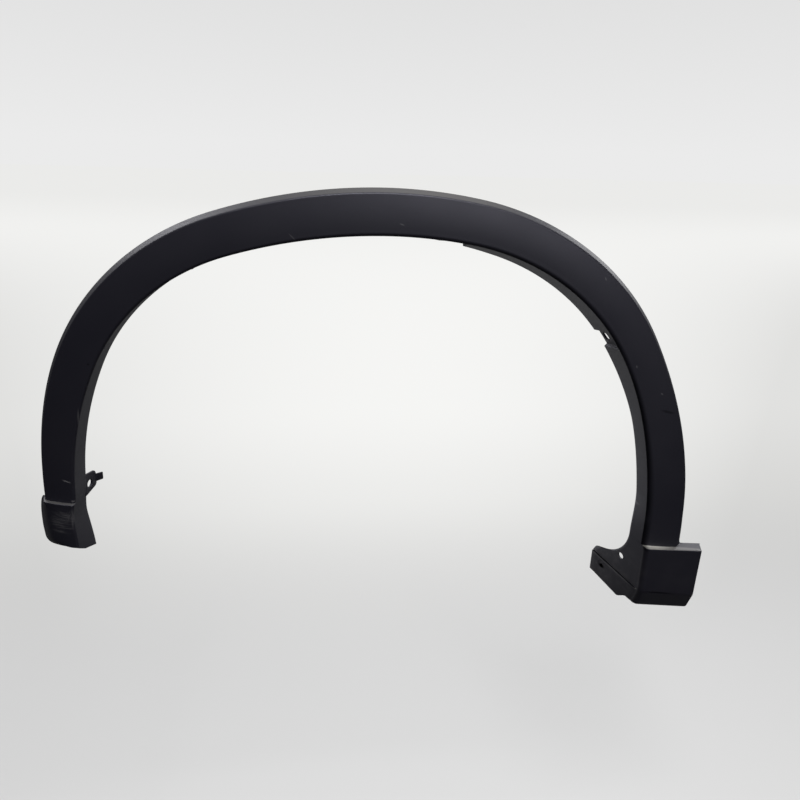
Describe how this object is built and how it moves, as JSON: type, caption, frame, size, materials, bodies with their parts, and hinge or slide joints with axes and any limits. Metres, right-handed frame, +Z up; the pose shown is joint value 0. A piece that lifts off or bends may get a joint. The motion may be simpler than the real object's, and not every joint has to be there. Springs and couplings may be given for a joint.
{
  "type": "wheel arch trim",
  "caption": "Black moulded trim that follows a car's wheel opening, with a return flange, a raised cap at one foot and a squared box with a deep side flange at the other.",
  "frame": {"origin": "where the axis of the middle retaining clip meets the wing, half way across the band at the crown", "axes": "+X along the car towards the squared foot, +Y into the wheel arch, +Z up; the part keeps the attitude in which it hangs"},
  "size_m": [0.9812, 0.1151, 0.6507],
  "materials": {
    "trim_plastic": "black, moulded with a fine grain",
    "clip_plastic": "natural nylon"
  },
  "bodies": {
    "root": {"arch_trim": "trim_plastic", "retaining_clips": "clip_plastic"}
  },
  "joints": []
}
